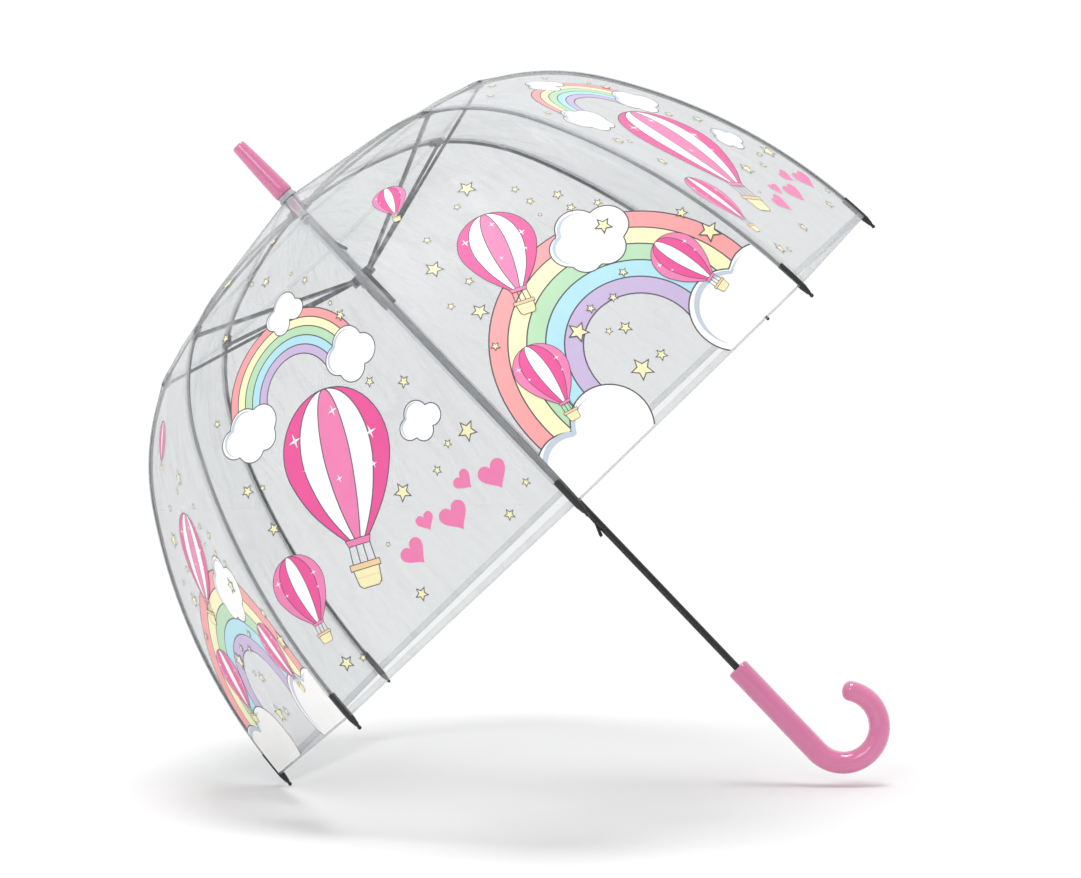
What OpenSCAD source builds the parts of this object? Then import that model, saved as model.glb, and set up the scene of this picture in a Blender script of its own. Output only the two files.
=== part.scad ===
// Children's dome umbrella, upright, Z up. All sizes in millimetres.
// Origin: on the shaft axis at the middle of the straight grip. The hook opens to +X.
// Everything that moves is drawn with the umbrella open.

/* [Canopy ribs] */
// length of the flattest part of each rib, from the crown pivot outwards
rib_len_a = 118; // [90:1:150]
// length of the shoulder, where the rib bends most
rib_len_b = 129; // [100:1:160]
// length of the skirt, from the shoulder to the end of the rib
rib_len_c = 224; // [180:1:270]
// slope of the rib where the flat part ends, degrees below level
slope_a = 12.5; // [8:0.5:20]
// slope of the rib where the shoulder ends
slope_b = 56.5; // [45:0.5:65]
// slope of the rib at its end
slope_c = 87; // [75:0.5:90]
// how far along the shoulder the strut joint sits
joint_along = 38; // [25:1:60]
// diameter of the rib wire
rib_d = 2.4; // [1.8:0.1:3.2]

/* [Film] */
// thickness of each film panel
film_t = 0.4; // [0.3:0.05:0.8]
// gap left between a rib and the film over it
film_gap = 0.4; // [0.3:0.05:1]
// height of the folded hem
hem_h = 5; // [3:0.5:9]

/* [Shaft and handle] */
// outside diameter of the shaft tube
shaft_d = 5.4; // [4.4:0.1:9]
// wall of the shaft tube
shaft_wall = 0.7; // [0.5:0.1:1.2]
// height of the top of the canopy above the middle of the grip
apex_z = 523; // [420:1:640]
// length of the straight grip
grip_len = 86; // [60:1:120]
// diameter of the handle
handle_d = 16.6; // [13:0.1:22]
// radius of the hook, measured to the middle of its bar
hook_r = 26.8; // [20:0.1:36]
// angle that the hook turns through
hook_turn = 216; // [170:1:225]
// length of the ferrule
ferrule_len = 50.3; // [30:0.1:80]
// diameter of the ferrule at its foot
ferrule_base_d = 14.7; // [10:0.1:20]
// diameter of the ferrule at its end
ferrule_tip_d = 10.7; // [7:0.1:14]

/* [Runner] */
// how far the runner pivots sit below the top of the canopy when open
runner_drop = 79; // [70:0.5:95]
// length of the runner sleeve below the hub
sleeve_len = 27; // [18:1:40]
// radius of the ring that the ribs and the struts turn on
ring_r = 8; // [7:0.1:12]
// diameter of the ring wires
wire_d = 1.1; // [0.8:0.1:1.6]

/* [Hidden] */
$fn = 96;
N = 8;
FIT = 0.07;
step = 360 / N;
half = step / 2;
crown_z = apex_z - 11.8;
rib_r = rib_d / 2;
R_a = rib_len_a / (slope_a * PI / 180);
R_b = rib_len_b / ((slope_b - slope_a) * PI / 180);
R_c = rib_len_c / ((slope_c - slope_b) * PI / 180);
slope_j = slope_a + joint_along / R_b * 180 / PI;
// centre of each arc in the (radius, height) plane of a rib
c_a = [ring_r, crown_z - R_a];
c_b = c_a + (R_a - R_b) * [sin(slope_a), cos(slope_a)];
c_c = c_b + (R_b - R_c) * [sin(slope_b), cos(slope_b)];
// strut joint, rib end
J = c_b + R_b * [sin(slope_j), cos(slope_j)];
E = c_c + R_c * [sin(slope_c), cos(slope_c)];
runner_z = apex_z - runner_drop;
F = [ring_r, runner_z];
strut_len = norm(J - F);
strut_tilt = atan2(J[1] - F[1], J[0] - F[0]);
arm_len = norm(J - [ring_r, crown_z]);
// closed: the ribs hang 84 degrees below level, and the runner has come down with the struts
closed_arm = 84;
closed_strut = acos(arm_len * cos(closed_arm) / strut_len);
closed_z = crown_z - arm_len * sin(closed_arm) - strut_len * sin(closed_strut);
travel = runner_z - closed_z;
film_off = rib_r + film_gap;
// the film leaves the collar straight and lies on the ribs from here outwards
collar_p = [6.9, apex_z - 0.5];
touch_d = norm(collar_p - c_a);
touch = acos((R_a + film_off) / touch_d) + atan2(collar_p[0] - c_a[0], collar_p[1] - c_a[1]);
straight_len = sqrt(touch_d * touch_d - (R_a + film_off) * (R_a + film_off));
tip_in = 22;
tip_out = 9;
hem_back = 2.5;
slope_hem = slope_c - hem_back / R_c * 180 / PI;
slope_fold = slope_hem - hem_h / R_c * 180 / PI;
// half of the gap between two panels at a rib, and a length that reaches past any panel
seam_gap = 0.3;
film_reach = E[0] + 60;
grip_top = grip_len / 2;
catch_turn = 180 + half;

// Colours
steel_black = [0.09, 0.09, 0.1];
black_plastic = [0.06, 0.06, 0.07];
pink = [0.86, 0.46, 0.64];
zinc = [0.55, 0.56, 0.58];
film_clear = [0.86, 0.88, 0.9];

// a round bar along an arc in the XZ plane, between two slopes
module arc_bar(c, R, s0, s1, r) {
    translate([c[0], 0, c[1]])
    rotate([90, 0, 0])
    rotate([0, 0, 90 - s1])
    rotate_extrude(angle = s1 - s0)
    translate([R, 0])
    circle(r = r);
}

// a strip of film over the same arc, w wide across the panel
module arc_strip(c, R, off, th, s0, s1, w) {
    translate([c[0], 0, c[1]])
    rotate([90, 0, 0])
    rotate([0, 0, 90 - s1])
    rotate_extrude(angle = s1 - s0)
    translate([R + off, -w / 2])
    square([th, w]);
}

// a flat round leaf standing in the XZ plane
module leaf(p, r, y0, y1) {
    translate([p[0], y1, p[1]])
    rotate([90, 0, 0])
    cylinder(r = r, h = y1 - y0);
}

// a flat bar in the XZ plane that starts at p and runs at a slope below level
module tongue(p, slope, x0, x1, h, y0, y1) {
    translate([p[0], 0, p[1]])
    rotate([0, slope, 0])
    translate([x0, y0, -h / 2])
    cube([x1 - x0, y1 - y0, h]);
}

// the wedge that one panel fills, from the axis out
module wedge() {
    translate([seam_gap / sin(half), 0, E[1] - 60])
    linear_extrude(height = apex_z - E[1] + 80)
    polygon([[0, 0], [film_reach, film_reach * tan(half)], [film_reach, -film_reach * tan(half)]]);
}

// notches at the two edges of a panel, round the forks of the strut joints
module joint_notches() {
    for (s = [-1, 1])
    rotate([0, 0, s * half])
    translate([J[0], 0, J[1]])
    rotate([0, slope_j, 0])
    translate([-10.2, -3.5, -5])
    cube([13.5, 7, 12]);
}

// a bead on the rib wire, where the film is tied down
module tie_bead(p) {
    translate([p[0], 0, p[1]])
    sphere(r = rib_r + 0.22);
}

// one inner rib: eye on the crown wire, wire out to the strut joint, fork and rivet
module inner_rib() {
    joint_slope = slope_j;
    wire_end = slope_j - 7 / R_b * 180 / PI;
    union() {
        difference() {
            union() {
                leaf([ring_r, crown_z], 2.1, -0.7, 0.7);
                tongue([ring_r, crown_z], 0, 0.5, 5.5, 2.2, -0.7, 0.7);
            }
            leaf([ring_r, crown_z], wire_d / 2 + 0.09, -2, 2);
        }
        arc_bar(c_a, R_a, 3.6 / R_a * 180 / PI, slope_a - 0.03, rib_r);
        arc_bar(c_b, R_b, slope_a + 0.1, wire_end, rib_r);
        tie_bead(c_b + R_b * [sin(slope_a), cos(slope_a)]);
        // fork: two leaves outside the strut, held together behind it
        for (s = [-1, 1]) {
            leaf(J, 2.5, s > 0 ? 1.8 : -2.5, s > 0 ? 2.5 : -1.8);
            tongue(J, joint_slope, -8.6, -0.7, 3.4, s > 0 ? 1.85 : -2.45, s > 0 ? 2.45 : -1.85);
            leaf(J, 1.5, s > 0 ? 2.45 : -3.1, s > 0 ? 3.1 : -2.45);
        }
        tongue(J, joint_slope, -9.2, -7, 2.8, -2.4, 2.4);
        leaf(J, 0.9, -2.2, 2.2);
    }
}

// one outer rib: eye on the rivet, then wire down to the tip
module outer_rib() {
    union() {
        difference() {
            union() {
                leaf(J, 2.1, -0.85, 0.85);
                tongue(J, slope_j, 0.5, 6.5, 2.1, -0.85, 0.85);
            }
            leaf(J, 0.9 + FIT, -2, 2);
        }
        arc_bar(c_b, R_b, slope_j + 5 / R_b * 180 / PI, slope_b - 0.1, rib_r);
        arc_bar(c_c, R_c, slope_b + 0.03, slope_c, rib_r);
        tie_bead(c_c + R_c * [sin(slope_b), cos(slope_b)]);
    }
}

// one strut: channel open to the top, two leaves on the rivet and one eye on the runner wire
module one_strut() {
    translate([F[0], 0, F[1]])
    rotate([0, -strut_tilt, 0])
    union() {
        difference() {
            union() {
                leaf([0, 0], 2.1, -0.7, 0.7);
                translate([0.5, -0.7, -1])
                cube([7, 1.4, 2]);
            }
            leaf([0, 0], wire_d / 2 + 0.09, -2, 2);
        }
        // floor of the channel
        translate([4.8, -1.6, -1.1])
        cube([strut_len - 9.3, 3.2, 0.55]);
        difference() {
            for (s = [-1, 1])
            union() {
                translate([4.8, s > 0 ? 1.05 : -1.6, -1.1])
                cube([strut_len - 4.8, 0.55, 2.2]);
                leaf([strut_len, 0], 2, s > 0 ? 1.05 : -1.6, s > 0 ? 1.6 : -1.05);
            }
            leaf([strut_len, 0], 0.9 + FIT, -3, 3);
        }
        // the eye runs into the channel and fills it for a short way
        translate([4.8, -1.3, -1])
        cube([3, 2.6, 2]);
    }
}

// one tip: cap over the rib end, tapering to a small round end past the hem
module one_tip() {
    s0 = slope_c - tip_in / R_c * 180 / PI;
    difference() {
        union() {
            arc_bar(c_c, R_c, s0, slope_c, 2.4);
            translate([E[0], 0, E[1]])
            rotate([0, slope_c + 90, 0])
            union() {
                translate([0, 0, -0.3])
                cylinder(r1 = 2.35, r2 = 1.5, h = 5.5);
                cylinder(r = 1.15, h = tip_out - 1.4);
                translate([0, 0, tip_out - 1.4])
                sphere(r = 1.4);
            }
        }
        arc_bar(c_c, R_c, s0 - 1, slope_c + 0.02, rib_r + 0.05);
    }
}

// film over the flat part and the start of the shoulder
module film_upper() {
    joint_gap = 0.2 / R_b * 180 / PI;
    difference() {
        intersection() {
            scale([cos(half), 1, 1])
            union() {
                translate([collar_p[0], -film_reach / 2, collar_p[1]])
                rotate([0, touch, 0])
                cube([straight_len + 0.05, film_reach, film_t]);
                arc_strip(c_a, R_a, film_off, film_t, touch, slope_a + 0.02, film_reach);
                arc_strip(c_b, R_b, film_off, film_t, slope_a, slope_j - joint_gap, film_reach);
            }
            wedge();
        }
        joint_notches();
    }
}

// film from the strut joint down to the folded hem, clear of the tip caps
module film_lower() {
    joint_gap = 0.2 / R_b * 180 / PI;
    difference() {
        intersection() {
            scale([cos(half), 1, 1])
            union() {
                arc_strip(c_b, R_b, film_off, film_t, slope_j + joint_gap, slope_b + 0.01, film_reach);
                arc_strip(c_c, R_c, film_off, film_t, slope_b, slope_hem, film_reach);
                arc_strip(c_c, R_c, film_off - film_t, film_t + 0.1, slope_fold, slope_hem, film_reach);
            }
            wedge();
        }
        joint_notches();
        for (s = [-1, 1])
        rotate([0, 0, s * half])
        translate([E[0] - 60, s > 0 ? -2.8 : -5, E[1] - 5])
        cube([90, 7.8, tip_in + 6]);
    }
}

// a sprung catch: a slim leaf that leaves the shaft at a slant, and its pin
module catch_leaf(foot_z, up) {
    rotate([0, 0, catch_turn])
    translate([0, 0, foot_z])
    scale([1, 1, up])
    union() {
        rotate([90, 0, 0])
        linear_extrude(height = 1.3, center = true)
        polygon([[0.8, 0], [1.9, 0], [6.5, 10.2], [6.5, 12], [4.7, 12], [0.8, 2.4]]);
        leaf([1.35, 0.9], 0.45, -2.2, 2.2);
    }
}

// slot and pin hole that a catch needs in the shaft
module catch_slot(foot_z, up) {
    rotate([0, 0, catch_turn])
    translate([0, 0, foot_z])
    scale([1, 1, up])
    union() {
        translate([0, -0.85, -0.6])
        cube([5, 1.7, 14.6]);
        leaf([1.35, 0.9], 0.52, -4, 4);
    }
}

up_foot = runner_z - 17;
low_foot = closed_z - 5;
stop_z = apex_z - 57;

module shaft() {
    color(steel_black)
    difference() {
        cylinder(d = shaft_d, h = apex_z + 24);
        translate([0, 0, -1])
        cylinder(d = shaft_d - 2 * shaft_wall, h = apex_z + 30);
        catch_slot(up_foot, 1);
        catch_slot(low_foot, -1);
        rotate([0, 0, half])
        translate([0, -0.85, stop_z - 0.2])
        cube([5, 1.7, 13.2]);
    }
}

module handle() {
    r = handle_d / 2;
    color(pink)
    difference() {
        union() {
            translate([0, 0, -grip_top])
            cylinder(r = r, h = grip_len - 1.5);
            translate([0, 0, grip_top - 1.5])
            cylinder(r1 = r, r2 = r - 1.5, h = 1.5);
            translate([hook_r, 0, -grip_top])
            rotate([-90, 0, 0])
            rotate([0, 0, 180 - hook_turn])
            rotate_extrude(angle = hook_turn)
            translate([hook_r, 0])
            circle(r = r - 0.05);
            // round end of the hook
            translate([hook_r, 0, -grip_top])
            rotate([0, 180 - hook_turn, 0])
            translate([hook_r, 0, 0])
            difference() {
                sphere(r = r - 0.05);
                translate([-r - 1, -r - 1, -2 * r - 2])
                cube([2 * r + 2, 2 * r + 2, 2 * r + 2]);
            }
        }
        translate([0, 0, -0.5])
        cylinder(d = shaft_d + 0.1, h = grip_len);
    }
}

module ferrule() {
    seat = apex_z + 4.4;
    color(pink)
    difference() {
        union() {
            translate([0, 0, seat])
            cylinder(d1 = ferrule_base_d, d2 = ferrule_tip_d, h = ferrule_len - 10);
            translate([0, 0, seat + ferrule_len - 10])
            cylinder(d = ferrule_tip_d, h = 10);
        }
        translate([0, 0, seat - 1])
        cylinder(d = shaft_d + 0.1, h = 21.1);
    }
}

module top_collar() {
    color(zinc)
    translate([0, 0, apex_z])
    difference() {
        union() {
            cylinder(r = 7.4, h = 1.6);
            cylinder(r = 6.6, h = 4.2);
        }
        translate([0, 0, -1])
        cylinder(d = shaft_d + 0.1, h = 8);
    }
}

module crown() {
    color(black_plastic)
    difference() {
        union() {
            translate([0, 0, crown_z - 2.4])
            cylinder(r = ring_r + 2.4, h = 5.6);
            translate([0, 0, crown_z])
            cylinder(r = 5.3, h = apex_z - crown_z - 0.1);
        }
        translate([0, 0, crown_z - 5])
        cylinder(d = shaft_d + 0.1, h = 30);
        for (k = [0:N - 1])
        rotate([0, 0, k * step])
        translate([ring_r - 2.4, -0.95, crown_z - 4])
        cube([8, 1.9, 12]);
        translate([0, 0, crown_z])
        rotate_extrude()
        translate([ring_r, 0])
        circle(r = wire_d / 2 + 0.05);
    }
}

module crown_wire() {
    color(zinc)
    translate([0, 0, crown_z])
    rotate_extrude()
    translate([ring_r, 0])
    circle(d = wire_d);
}

// fixed stop that the runner can't pass
module upper_stop() {
    color(steel_black)
    rotate([0, 0, half])
    translate([0, 0, stop_z])
    rotate([90, 0, 0])
    linear_extrude(height = 1.4, center = true)
    polygon([[5, 0], [6.4, 0], [6.4, 2], [2.2, 12.6], [0.9, 12.6], [0.9, 10.4]]);
}

module runner() {
    color(black_plastic)
    difference() {
        union() {
            translate([0, 0, runner_z - 3.5])
            cylinder(r = ring_r + 2.4, h = 6.5);
            translate([0, 0, runner_z - 3.5 - sleeve_len])
            cylinder(r = 5.4, h = sleeve_len + 1);
        }
        translate([0, 0, runner_z - 60])
        cylinder(r = shaft_d / 2 + 0.09, h = 90);
        for (k = [0:N - 1])
        rotate([0, 0, k * step])
        translate([ring_r - 2.3, -0.95, runner_z - 5])
        cube([8, 1.9, 12]);
        translate([0, 0, runner_z])
        rotate_extrude()
        translate([ring_r, 0])
        circle(r = wire_d / 2 + 0.05);
        // window for the catches
        rotate([0, 0, catch_turn])
        translate([0, -1.1, runner_z - 18])
        cube([8, 2.2, 14]);
    }
}

module runner_wire() {
    color(zinc)
    translate([0, 0, runner_z])
    rotate_extrude()
    translate([ring_r, 0])
    circle(d = wire_d);
}

module upper_catch() {
    color(steel_black)
    catch_leaf(up_foot, 1);
}

module lower_catch() {
    color(steel_black)
    catch_leaf(low_foot, -1);
}

// rib inner pieces, one for each of the eight ribs
module rib_inner_1() {
    color(steel_black)
    rotate([0, 0, 0 * step])
    inner_rib();
}
module rib_inner_2() {
    color(steel_black)
    rotate([0, 0, 1 * step])
    inner_rib();
}
module rib_inner_3() {
    color(steel_black)
    rotate([0, 0, 2 * step])
    inner_rib();
}
module rib_inner_4() {
    color(steel_black)
    rotate([0, 0, 3 * step])
    inner_rib();
}
module rib_inner_5() {
    color(steel_black)
    rotate([0, 0, 4 * step])
    inner_rib();
}
module rib_inner_6() {
    color(steel_black)
    rotate([0, 0, 5 * step])
    inner_rib();
}
module rib_inner_7() {
    color(steel_black)
    rotate([0, 0, 6 * step])
    inner_rib();
}
module rib_inner_8() {
    color(steel_black)
    rotate([0, 0, 7 * step])
    inner_rib();
}

// rib outer pieces, one for each of the eight ribs
module rib_outer_1() {
    color(steel_black)
    rotate([0, 0, 0 * step])
    outer_rib();
}
module rib_outer_2() {
    color(steel_black)
    rotate([0, 0, 1 * step])
    outer_rib();
}
module rib_outer_3() {
    color(steel_black)
    rotate([0, 0, 2 * step])
    outer_rib();
}
module rib_outer_4() {
    color(steel_black)
    rotate([0, 0, 3 * step])
    outer_rib();
}
module rib_outer_5() {
    color(steel_black)
    rotate([0, 0, 4 * step])
    outer_rib();
}
module rib_outer_6() {
    color(steel_black)
    rotate([0, 0, 5 * step])
    outer_rib();
}
module rib_outer_7() {
    color(steel_black)
    rotate([0, 0, 6 * step])
    outer_rib();
}
module rib_outer_8() {
    color(steel_black)
    rotate([0, 0, 7 * step])
    outer_rib();
}

// strut pieces, one for each of the eight ribs
module strut_1() {
    color(steel_black)
    rotate([0, 0, 0 * step])
    one_strut();
}
module strut_2() {
    color(steel_black)
    rotate([0, 0, 1 * step])
    one_strut();
}
module strut_3() {
    color(steel_black)
    rotate([0, 0, 2 * step])
    one_strut();
}
module strut_4() {
    color(steel_black)
    rotate([0, 0, 3 * step])
    one_strut();
}
module strut_5() {
    color(steel_black)
    rotate([0, 0, 4 * step])
    one_strut();
}
module strut_6() {
    color(steel_black)
    rotate([0, 0, 5 * step])
    one_strut();
}
module strut_7() {
    color(steel_black)
    rotate([0, 0, 6 * step])
    one_strut();
}
module strut_8() {
    color(steel_black)
    rotate([0, 0, 7 * step])
    one_strut();
}

// tip pieces, one for each of the eight ribs
module tip_1() {
    color(black_plastic)
    rotate([0, 0, 0 * step])
    one_tip();
}
module tip_2() {
    color(black_plastic)
    rotate([0, 0, 1 * step])
    one_tip();
}
module tip_3() {
    color(black_plastic)
    rotate([0, 0, 2 * step])
    one_tip();
}
module tip_4() {
    color(black_plastic)
    rotate([0, 0, 3 * step])
    one_tip();
}
module tip_5() {
    color(black_plastic)
    rotate([0, 0, 4 * step])
    one_tip();
}
module tip_6() {
    color(black_plastic)
    rotate([0, 0, 5 * step])
    one_tip();
}
module tip_7() {
    color(black_plastic)
    rotate([0, 0, 6 * step])
    one_tip();
}
module tip_8() {
    color(black_plastic)
    rotate([0, 0, 7 * step])
    one_tip();
}

// panel upper pieces, one for each of the eight panels
module panel_upper_1() {
    color(film_clear)
    rotate([0, 0, 0 * step + half])
    film_upper();
}
module panel_upper_2() {
    color(film_clear)
    rotate([0, 0, 1 * step + half])
    film_upper();
}
module panel_upper_3() {
    color(film_clear)
    rotate([0, 0, 2 * step + half])
    film_upper();
}
module panel_upper_4() {
    color(film_clear)
    rotate([0, 0, 3 * step + half])
    film_upper();
}
module panel_upper_5() {
    color(film_clear)
    rotate([0, 0, 4 * step + half])
    film_upper();
}
module panel_upper_6() {
    color(film_clear)
    rotate([0, 0, 5 * step + half])
    film_upper();
}
module panel_upper_7() {
    color(film_clear)
    rotate([0, 0, 6 * step + half])
    film_upper();
}
module panel_upper_8() {
    color(film_clear)
    rotate([0, 0, 7 * step + half])
    film_upper();
}

// panel lower pieces, one for each of the eight panels
module panel_lower_1() {
    color(film_clear)
    rotate([0, 0, 0 * step + half])
    film_lower();
}
module panel_lower_2() {
    color(film_clear)
    rotate([0, 0, 1 * step + half])
    film_lower();
}
module panel_lower_3() {
    color(film_clear)
    rotate([0, 0, 2 * step + half])
    film_lower();
}
module panel_lower_4() {
    color(film_clear)
    rotate([0, 0, 3 * step + half])
    film_lower();
}
module panel_lower_5() {
    color(film_clear)
    rotate([0, 0, 4 * step + half])
    film_lower();
}
module panel_lower_6() {
    color(film_clear)
    rotate([0, 0, 5 * step + half])
    film_lower();
}
module panel_lower_7() {
    color(film_clear)
    rotate([0, 0, 6 * step + half])
    film_lower();
}
module panel_lower_8() {
    color(film_clear)
    rotate([0, 0, 7 * step + half])
    film_lower();
}

shaft();
handle();
ferrule();
top_collar();
crown();
crown_wire();
upper_stop();
runner();
runner_wire();
upper_catch();
lower_catch();
rib_inner_1();
rib_inner_2();
rib_inner_3();
rib_inner_4();
rib_inner_5();
rib_inner_6();
rib_inner_7();
rib_inner_8();
rib_outer_1();
rib_outer_2();
rib_outer_3();
rib_outer_4();
rib_outer_5();
rib_outer_6();
rib_outer_7();
rib_outer_8();
strut_1();
strut_2();
strut_3();
strut_4();
strut_5();
strut_6();
strut_7();
strut_8();
tip_1();
tip_2();
tip_3();
tip_4();
tip_5();
tip_6();
tip_7();
tip_8();
panel_upper_1();
panel_upper_2();
panel_upper_3();
panel_upper_4();
panel_upper_5();
panel_upper_6();
panel_upper_7();
panel_upper_8();
panel_lower_1();
panel_lower_2();
panel_lower_3();
panel_lower_4();
panel_lower_5();
panel_lower_6();
panel_lower_7();
panel_lower_8();
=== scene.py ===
# %% [markdown]
# A children's dome umbrella, open and leaning on the floor. It has a clear film
# canopy on eight black wire ribs, a black shaft, and a pink handle and ferrule.
# The moving frame comes packed from the CAD model, and this lesson adds the film,
# its printed pictures, the moulded plastic pieces and every finish.

# %% Load the frame
import math
import bmesh
import bpy
from mathutils import Matrix, Vector, noise


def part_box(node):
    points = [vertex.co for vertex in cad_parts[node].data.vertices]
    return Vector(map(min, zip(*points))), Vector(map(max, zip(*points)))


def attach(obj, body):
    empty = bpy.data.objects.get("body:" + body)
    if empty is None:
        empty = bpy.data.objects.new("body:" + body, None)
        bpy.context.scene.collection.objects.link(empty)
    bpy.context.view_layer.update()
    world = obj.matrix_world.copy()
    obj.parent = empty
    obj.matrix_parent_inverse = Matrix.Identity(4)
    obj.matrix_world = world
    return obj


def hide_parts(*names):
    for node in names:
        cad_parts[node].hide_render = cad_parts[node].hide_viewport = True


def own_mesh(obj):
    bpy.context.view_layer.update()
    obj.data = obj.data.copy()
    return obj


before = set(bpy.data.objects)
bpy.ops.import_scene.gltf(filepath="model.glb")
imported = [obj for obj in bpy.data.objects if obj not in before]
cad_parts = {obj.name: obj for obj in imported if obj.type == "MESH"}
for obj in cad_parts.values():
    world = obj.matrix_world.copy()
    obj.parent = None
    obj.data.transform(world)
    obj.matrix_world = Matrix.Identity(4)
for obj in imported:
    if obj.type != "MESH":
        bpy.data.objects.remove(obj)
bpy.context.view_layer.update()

MM = 0.001

# %% [markdown]
# The umbrella is modelled upright, and it is seen lying over at about 44 degrees. The
# model stays upright in its own frame, so it is the camera that is turned, and the
# floor and the lights are turned with it. A long lens from 2.4 m away keeps the
# shape as a catalogue view has it.

# %% Camera
LEAN = Vector((0.691, 0.0, 0.723)).normalized()      # what looks like up
ACROSS = Vector((0.723, 0.0, -0.691)).normalized()   # what looks like right
AWAY = LEAN.cross(ACROSS).normalized()               # from the camera into the view
AIM = Vector((0.0118, 0, 0.2657))                    # the middle of the umbrella as it is seen
DISTANCE = 2.4


def turned(right, up, back, place):
    """A world matrix from three axes and a place."""
    m = Matrix((right, up, back)).transposed().to_4x4()
    m.translation = place
    return m


camera = bpy.data.objects.new("camera", bpy.data.cameras.new("camera"))
camera.data.lens = 108.0
camera.data.sensor_width = 36.0
camera.matrix_world = turned(ACROSS, LEAN, -AWAY, AIM - DISTANCE * AWAY)
bpy.context.scene.collection.objects.link(camera)
bpy.context.scene.camera = camera
print("camera looks along", [round(v, 3) for v in AWAY])

# %% [markdown]
# Colours are written as sRGB hex values, as a paint chart gives them. Blender's
# shaders work in linear light, so one function turns them. One more function adds
# a node with its settings and links, and every finish is made with these two.

# %% Colour and node helpers
def linear(hex_code):
    """An sRGB hex colour as the linear RGBA that shaders use."""
    channels = [int(hex_code[i:i + 2], 16) / 255 for i in (1, 3, 5)]
    return (*[c / 12.92 if c <= 0.04045 else ((c + 0.055) / 1.055) ** 2.4 for c in channels], 1.0)


def add(tree, kind, links=None, **settings):
    """Adds a node. links maps an input to an output socket, settings fill inputs or properties."""
    node = tree.nodes.new(kind)
    for key, value in settings.items():
        if hasattr(node, key):
            setattr(node, key, value)
        else:
            node.inputs[key.replace("_", " ")].default_value = value
    for key, socket in (links or {}).items():
        tree.links.new(socket, node.inputs[key])
    return node


def new_finish(name):
    """An empty material, with its node tree and output."""
    material = bpy.data.materials.new(name)
    material.use_nodes = True
    material.node_tree.nodes.clear()
    output = material.node_tree.nodes.new("ShaderNodeOutputMaterial")
    return material, material.node_tree, output


def ramp(tree, factor, stops):
    """A colour ramp over factor. stops are (position, grey) pairs."""
    node = add(tree, "ShaderNodeValToRGB", {"Fac": factor})
    elements = node.color_ramp.elements
    elements[1].position, elements[0].position = stops[-1][0], stops[0][0]
    for place, _ in stops[1:-1]:
        elements.new(place)
    for element, (_, grey) in zip(elements, stops):
        element.color = (grey, grey, grey, 1)
    return node


# %% [markdown]
# The canopy is EVA film: soft, clear, a little milky, and glossy. Two things make it
# look real. It lets nearly all light through, with a grey cast that deepens where two
# layers cross, and it holds soft creases that run out from the crown, which catch the
# light as pale streaks. So the shader mixes a transparent part with a glossy one. The
# creases drive the bump, and they raise the glossy part's share, which paints the pale
# streaks in as a painted highlight over the film's own milkiness. The creases follow
# the film, so they read the panel's own UV map, where U is millimetres across and V
# millimetres down.

# %% Clear EVA film
def clear_film(name, tint, milk):
    """Calendered EVA film. tint is what one surface lets through, milk the solid share."""
    material, tree, output = new_finish(name)
    where = add(tree, "ShaderNodeUVMap", uv_map="film")
    # long creases, about 9 mm apart across and 120 mm long
    creases = add(tree, "ShaderNodeMapping", {"Vector": where.outputs["UV"]})
    creases.inputs["Scale"].default_value = (0.11, 0.012, 1.0)
    streaks = add(tree, "ShaderNodeTexNoise", {"Vector": creases.outputs["Vector"]},
                  Scale=1.0, Detail=4.0, Roughness=0.62, Distortion=0.9)
    # slanting folds left by the closed umbrella, about 26 mm apart
    folds = add(tree, "ShaderNodeMapping", {"Vector": where.outputs["UV"]})
    folds.inputs["Rotation"].default_value = (0.0, 0.0, math.radians(38))
    folds.inputs["Scale"].default_value = (0.038, 0.009, 1.0)
    slants = add(tree, "ShaderNodeTexNoise", {"Vector": folds.outputs["Vector"]},
                 Scale=1.0, Detail=3.0, Roughness=0.55, Distortion=1.6)
    # the creases are strong at the crown and fade down the panel
    split = add(tree, "ShaderNodeSeparateXYZ", {"Vector": where.outputs["UV"]})
    down = add(tree, "ShaderNodeMapRange", {"Value": split.outputs["Y"]},
               From_Min=60.0, From_Max=420.0, To_Min=1.0, To_Max=0.32)
    sharp = ramp(tree, streaks.outputs["Fac"],
                 [(0.50, 0.0), (0.60, 0.35), (0.66, 1.0), (0.72, 0.25)])
    soft = ramp(tree, slants.outputs["Fac"], [(0.48, 0.0), (0.66, 1.0)])
    both = add(tree, "ShaderNodeMath", {0: sharp.outputs["Color"], 1: soft.outputs["Color"]},
               operation="MAXIMUM")
    crease = add(tree, "ShaderNodeMath", {0: both.outputs["Value"], 1: down.outputs["Result"]},
                 operation="MULTIPLY")
    bump = add(tree, "ShaderNodeBump", {"Height": crease.outputs["Value"]},
               Strength=0.35, Distance=0.0006)
    surface = add(tree, "ShaderNodeBsdfPrincipled", {"Normal": bump.outputs["Normal"]},
                  Base_Color=linear("#e4e6e8"), Roughness=0.14, IOR=1.49)
    through = add(tree, "ShaderNodeBsdfTransparent", Color=tint)
    # both faces of the thin film are crossed at the same angle, so gloss goes by Facing
    gloss = add(tree, "ShaderNodeLayerWeight", {"Normal": bump.outputs["Normal"]}, Blend=0.07)
    # the solid share is the film's own milk plus painted highlight: along the creases more pale
    # film is mixed in as painted light streaks
    milk_and_painted_streaks = add(tree, "ShaderNodeMapRange", {"Value": crease.outputs["Value"]},
               To_Min=milk, To_Max=milk + 0.15)
    share = add(tree, "ShaderNodeMath", {0: milk_and_painted_streaks.outputs["Result"], 1: gloss.outputs["Facing"]},
                operation="ADD", use_clamp=True)
    mixed = add(tree, "ShaderNodeMixShader", {0: share.outputs["Value"],
                1: through.outputs["BSDF"], 2: surface.outputs["BSDF"]})
    tree.links.new(mixed.outputs["Shader"], output.inputs["Surface"])
    return material


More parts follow.
